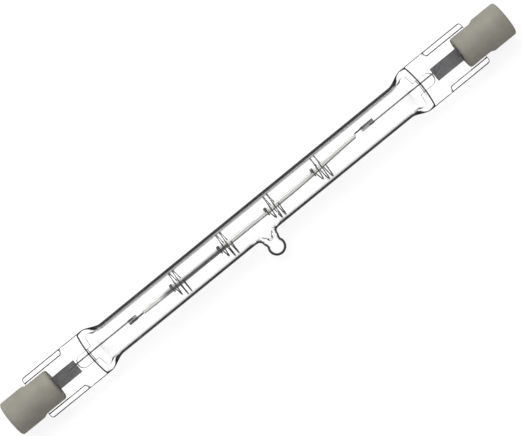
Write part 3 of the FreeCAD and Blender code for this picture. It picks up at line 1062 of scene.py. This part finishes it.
table = {
    "half": 4.0,
    "plain": (0.8, 0.8, 0.8, 1),
    "faint": (0.22, 0.22, 0.22, 1),
    "underLamp": 1.1 * mm,
    "lampEdge": (0.0035, 0.0055),
    "mirrorDim": 0.8,
    "glow": 0.84,
    "glowThroughGlass": 0.12,
}


def buildFloor():
    # shines white to the camera and through glass, but dimly in mirrors beside the lamp
    t = table
    z = -lamp["capRadius"] * mm
    corners = [(x * t["half"], y * t["half"], z) for x, y in ((-1, -1), (1, -1), (1, 1), (-1, 1))]
    mesh = bpy.data.meshes.new("tableTop")
    mesh.from_pydata(corners, [], [(0, 1, 2, 3)])
    floor = bpy.data.objects.new("tableTop", mesh)
    bpy.context.scene.collection.objects.link(floor)
    material = bpy.data.materials.new("paleTable")
    material.use_nodes = True
    tree = material.node_tree
    tree.nodes.clear()
    seen = addNode(tree, "ShaderNodeLightPath", (-1100, 300)).outputs
    spot = addNode(tree, "ShaderNodeTexCoord", (-1300, -500)).outputs["Object"]
    mirrored = seen["Is Glossy Ray"]
    crossed = seen["Is Transmission Ray"]
    orGlossy = addMath(tree, "MAXIMUM", (-700, 300), seen["Is Camera Ray"], mirrored)
    orGlass = addMath(tree, "MAXIMUM", (-500, 300), orGlossy, crossed)
    y = addPart(tree, (-1100, -500), spot, "Y")
    offLine = addMath(tree, "SUBTRACT", (-900, -500), y, t["underLamp"])
    away = addMath(tree, "ABSOLUTE", (-700, -500), offLine)
    dim = addRange(tree, (-500, -500), away, t["lampEdge"], t["mirrorDim"])
    mirrorOnly = addMath(tree, "SUBTRACT", (-700, 0), mirrored, crossed, use_clamp=True)
    mirrorDim = addMath(tree, "MULTIPLY", (-300, -400), dim, mirrorOnly)
    glow = addMath(tree, "MULTIPLY_ADD", (-300, -150), crossed, t["glowThroughGlass"], t["glow"])
    diffuse = addNode(tree, "ShaderNodeBsdfDiffuse", (100, 150), Color=t["plain"])
    faint = addNode(tree, "ShaderNodeBsdfDiffuse", (100, -50), Color=t["faint"])
    shine = addNode(tree, "ShaderNodeEmission", (100, -250), Color=(1, 1, 1, 1))
    both = addNode(tree, "ShaderNodeAddShader", (300, -150))
    choose = addNode(tree, "ShaderNodeMixShader", (500, 0))
    output = addNode(tree, "ShaderNodeOutputMaterial", (700, 0))
    feed(tree, shine.inputs, {"Strength": addMath(tree, "SUBTRACT", (-100, -300), glow, mirrorDim)})
    feed(tree, both.inputs, {0: faint.outputs[0], 1: shine.outputs[0]})
    feed(tree, choose.inputs, {"Fac": orGlass, 1: diffuse.outputs[0], 2: both.outputs[0]})
    feed(tree, output.inputs, {"Surface": choose.outputs[0]})
    mesh.materials.append(material)


roomStops = [(0.0, 0.15), (0.55, 0.3), (0.85, 0.8)]  # brightness of the room by height


def buildWorld():
    # white to the camera and through glass; lights and reflects as a room, dim below and bright above
    world = bpy.data.worlds.new("studioRoom")
    bpy.context.scene.world = world
    world.use_nodes = True
    tree = world.node_tree
    tree.nodes.clear()
    spot = addNode(tree, "ShaderNodeTexCoord", (-700, 0)).outputs["Generated"]
    ramp = addNode(tree, "ShaderNodeValToRGB", (-300, 0))
    fillRamp(ramp, roomStops)
    seen = addNode(tree, "ShaderNodeLightPath", (-100, 400)).outputs
    orGlass = addMath(tree, "MAXIMUM", (150, 400), seen["Is Camera Ray"], seen["Is Transmission Ray"])
    room = addNode(tree, "ShaderNodeBackground", (100, -100), Strength=1.0)
    white = addNode(tree, "ShaderNodeBackground", (100, 150), Strength=1.0, Color=(1, 1, 1, 1))
    choose = addNode(tree, "ShaderNodeMixShader", (400, 0))
    output = addNode(tree, "ShaderNodeOutputWorld", (700, 0))
    feed(tree, ramp.inputs, {"Fac": addPart(tree, (-500, 0), spot, "Z")})
    feed(tree, room.inputs, {"Color": ramp.outputs["Color"]})
    feed(tree, choose.inputs, {"Fac": orGlass, 1: room.outputs[0], 2: white.outputs[0]})
    feed(tree, output.inputs, {"Surface": choose.outputs[0]})


# places are shares of the camera's right, up and towards it, times the reach
lights = {
    "reach": 0.9,
    "keyLamp": {"right": -0.65, "up": 0.65, "near": 0.55, "size": 0.8, "power": 6.3},
    "fillLamp": {"right": 0.5, "up": -0.2, "near": 0.8, "size": 0.7, "power": 0.4},
}


def addLamp(name, right, up, normal):
    light = lights[name]
    place = (normal * light["near"] + right * light["right"] + up * light["up"]) * lights["reach"]
    data = bpy.data.lights.new(name, "AREA")
    data.size = light["size"]
    data.energy = light["power"]
    panel = bpy.data.objects.new(name, data)
    bpy.context.scene.collection.objects.link(panel)
    panel.location = place
    panel.rotation_euler = (-place).to_track_quat("-Z", "Y").to_euler()


right, up, normal = buildCamera()
buildFloor()
buildWorld()
for name in ("keyLamp", "fillLamp"):
    addLamp(name, right, up, normal)
bpy.context.scene.view_settings.view_transform = "Standard"
print("studio built")
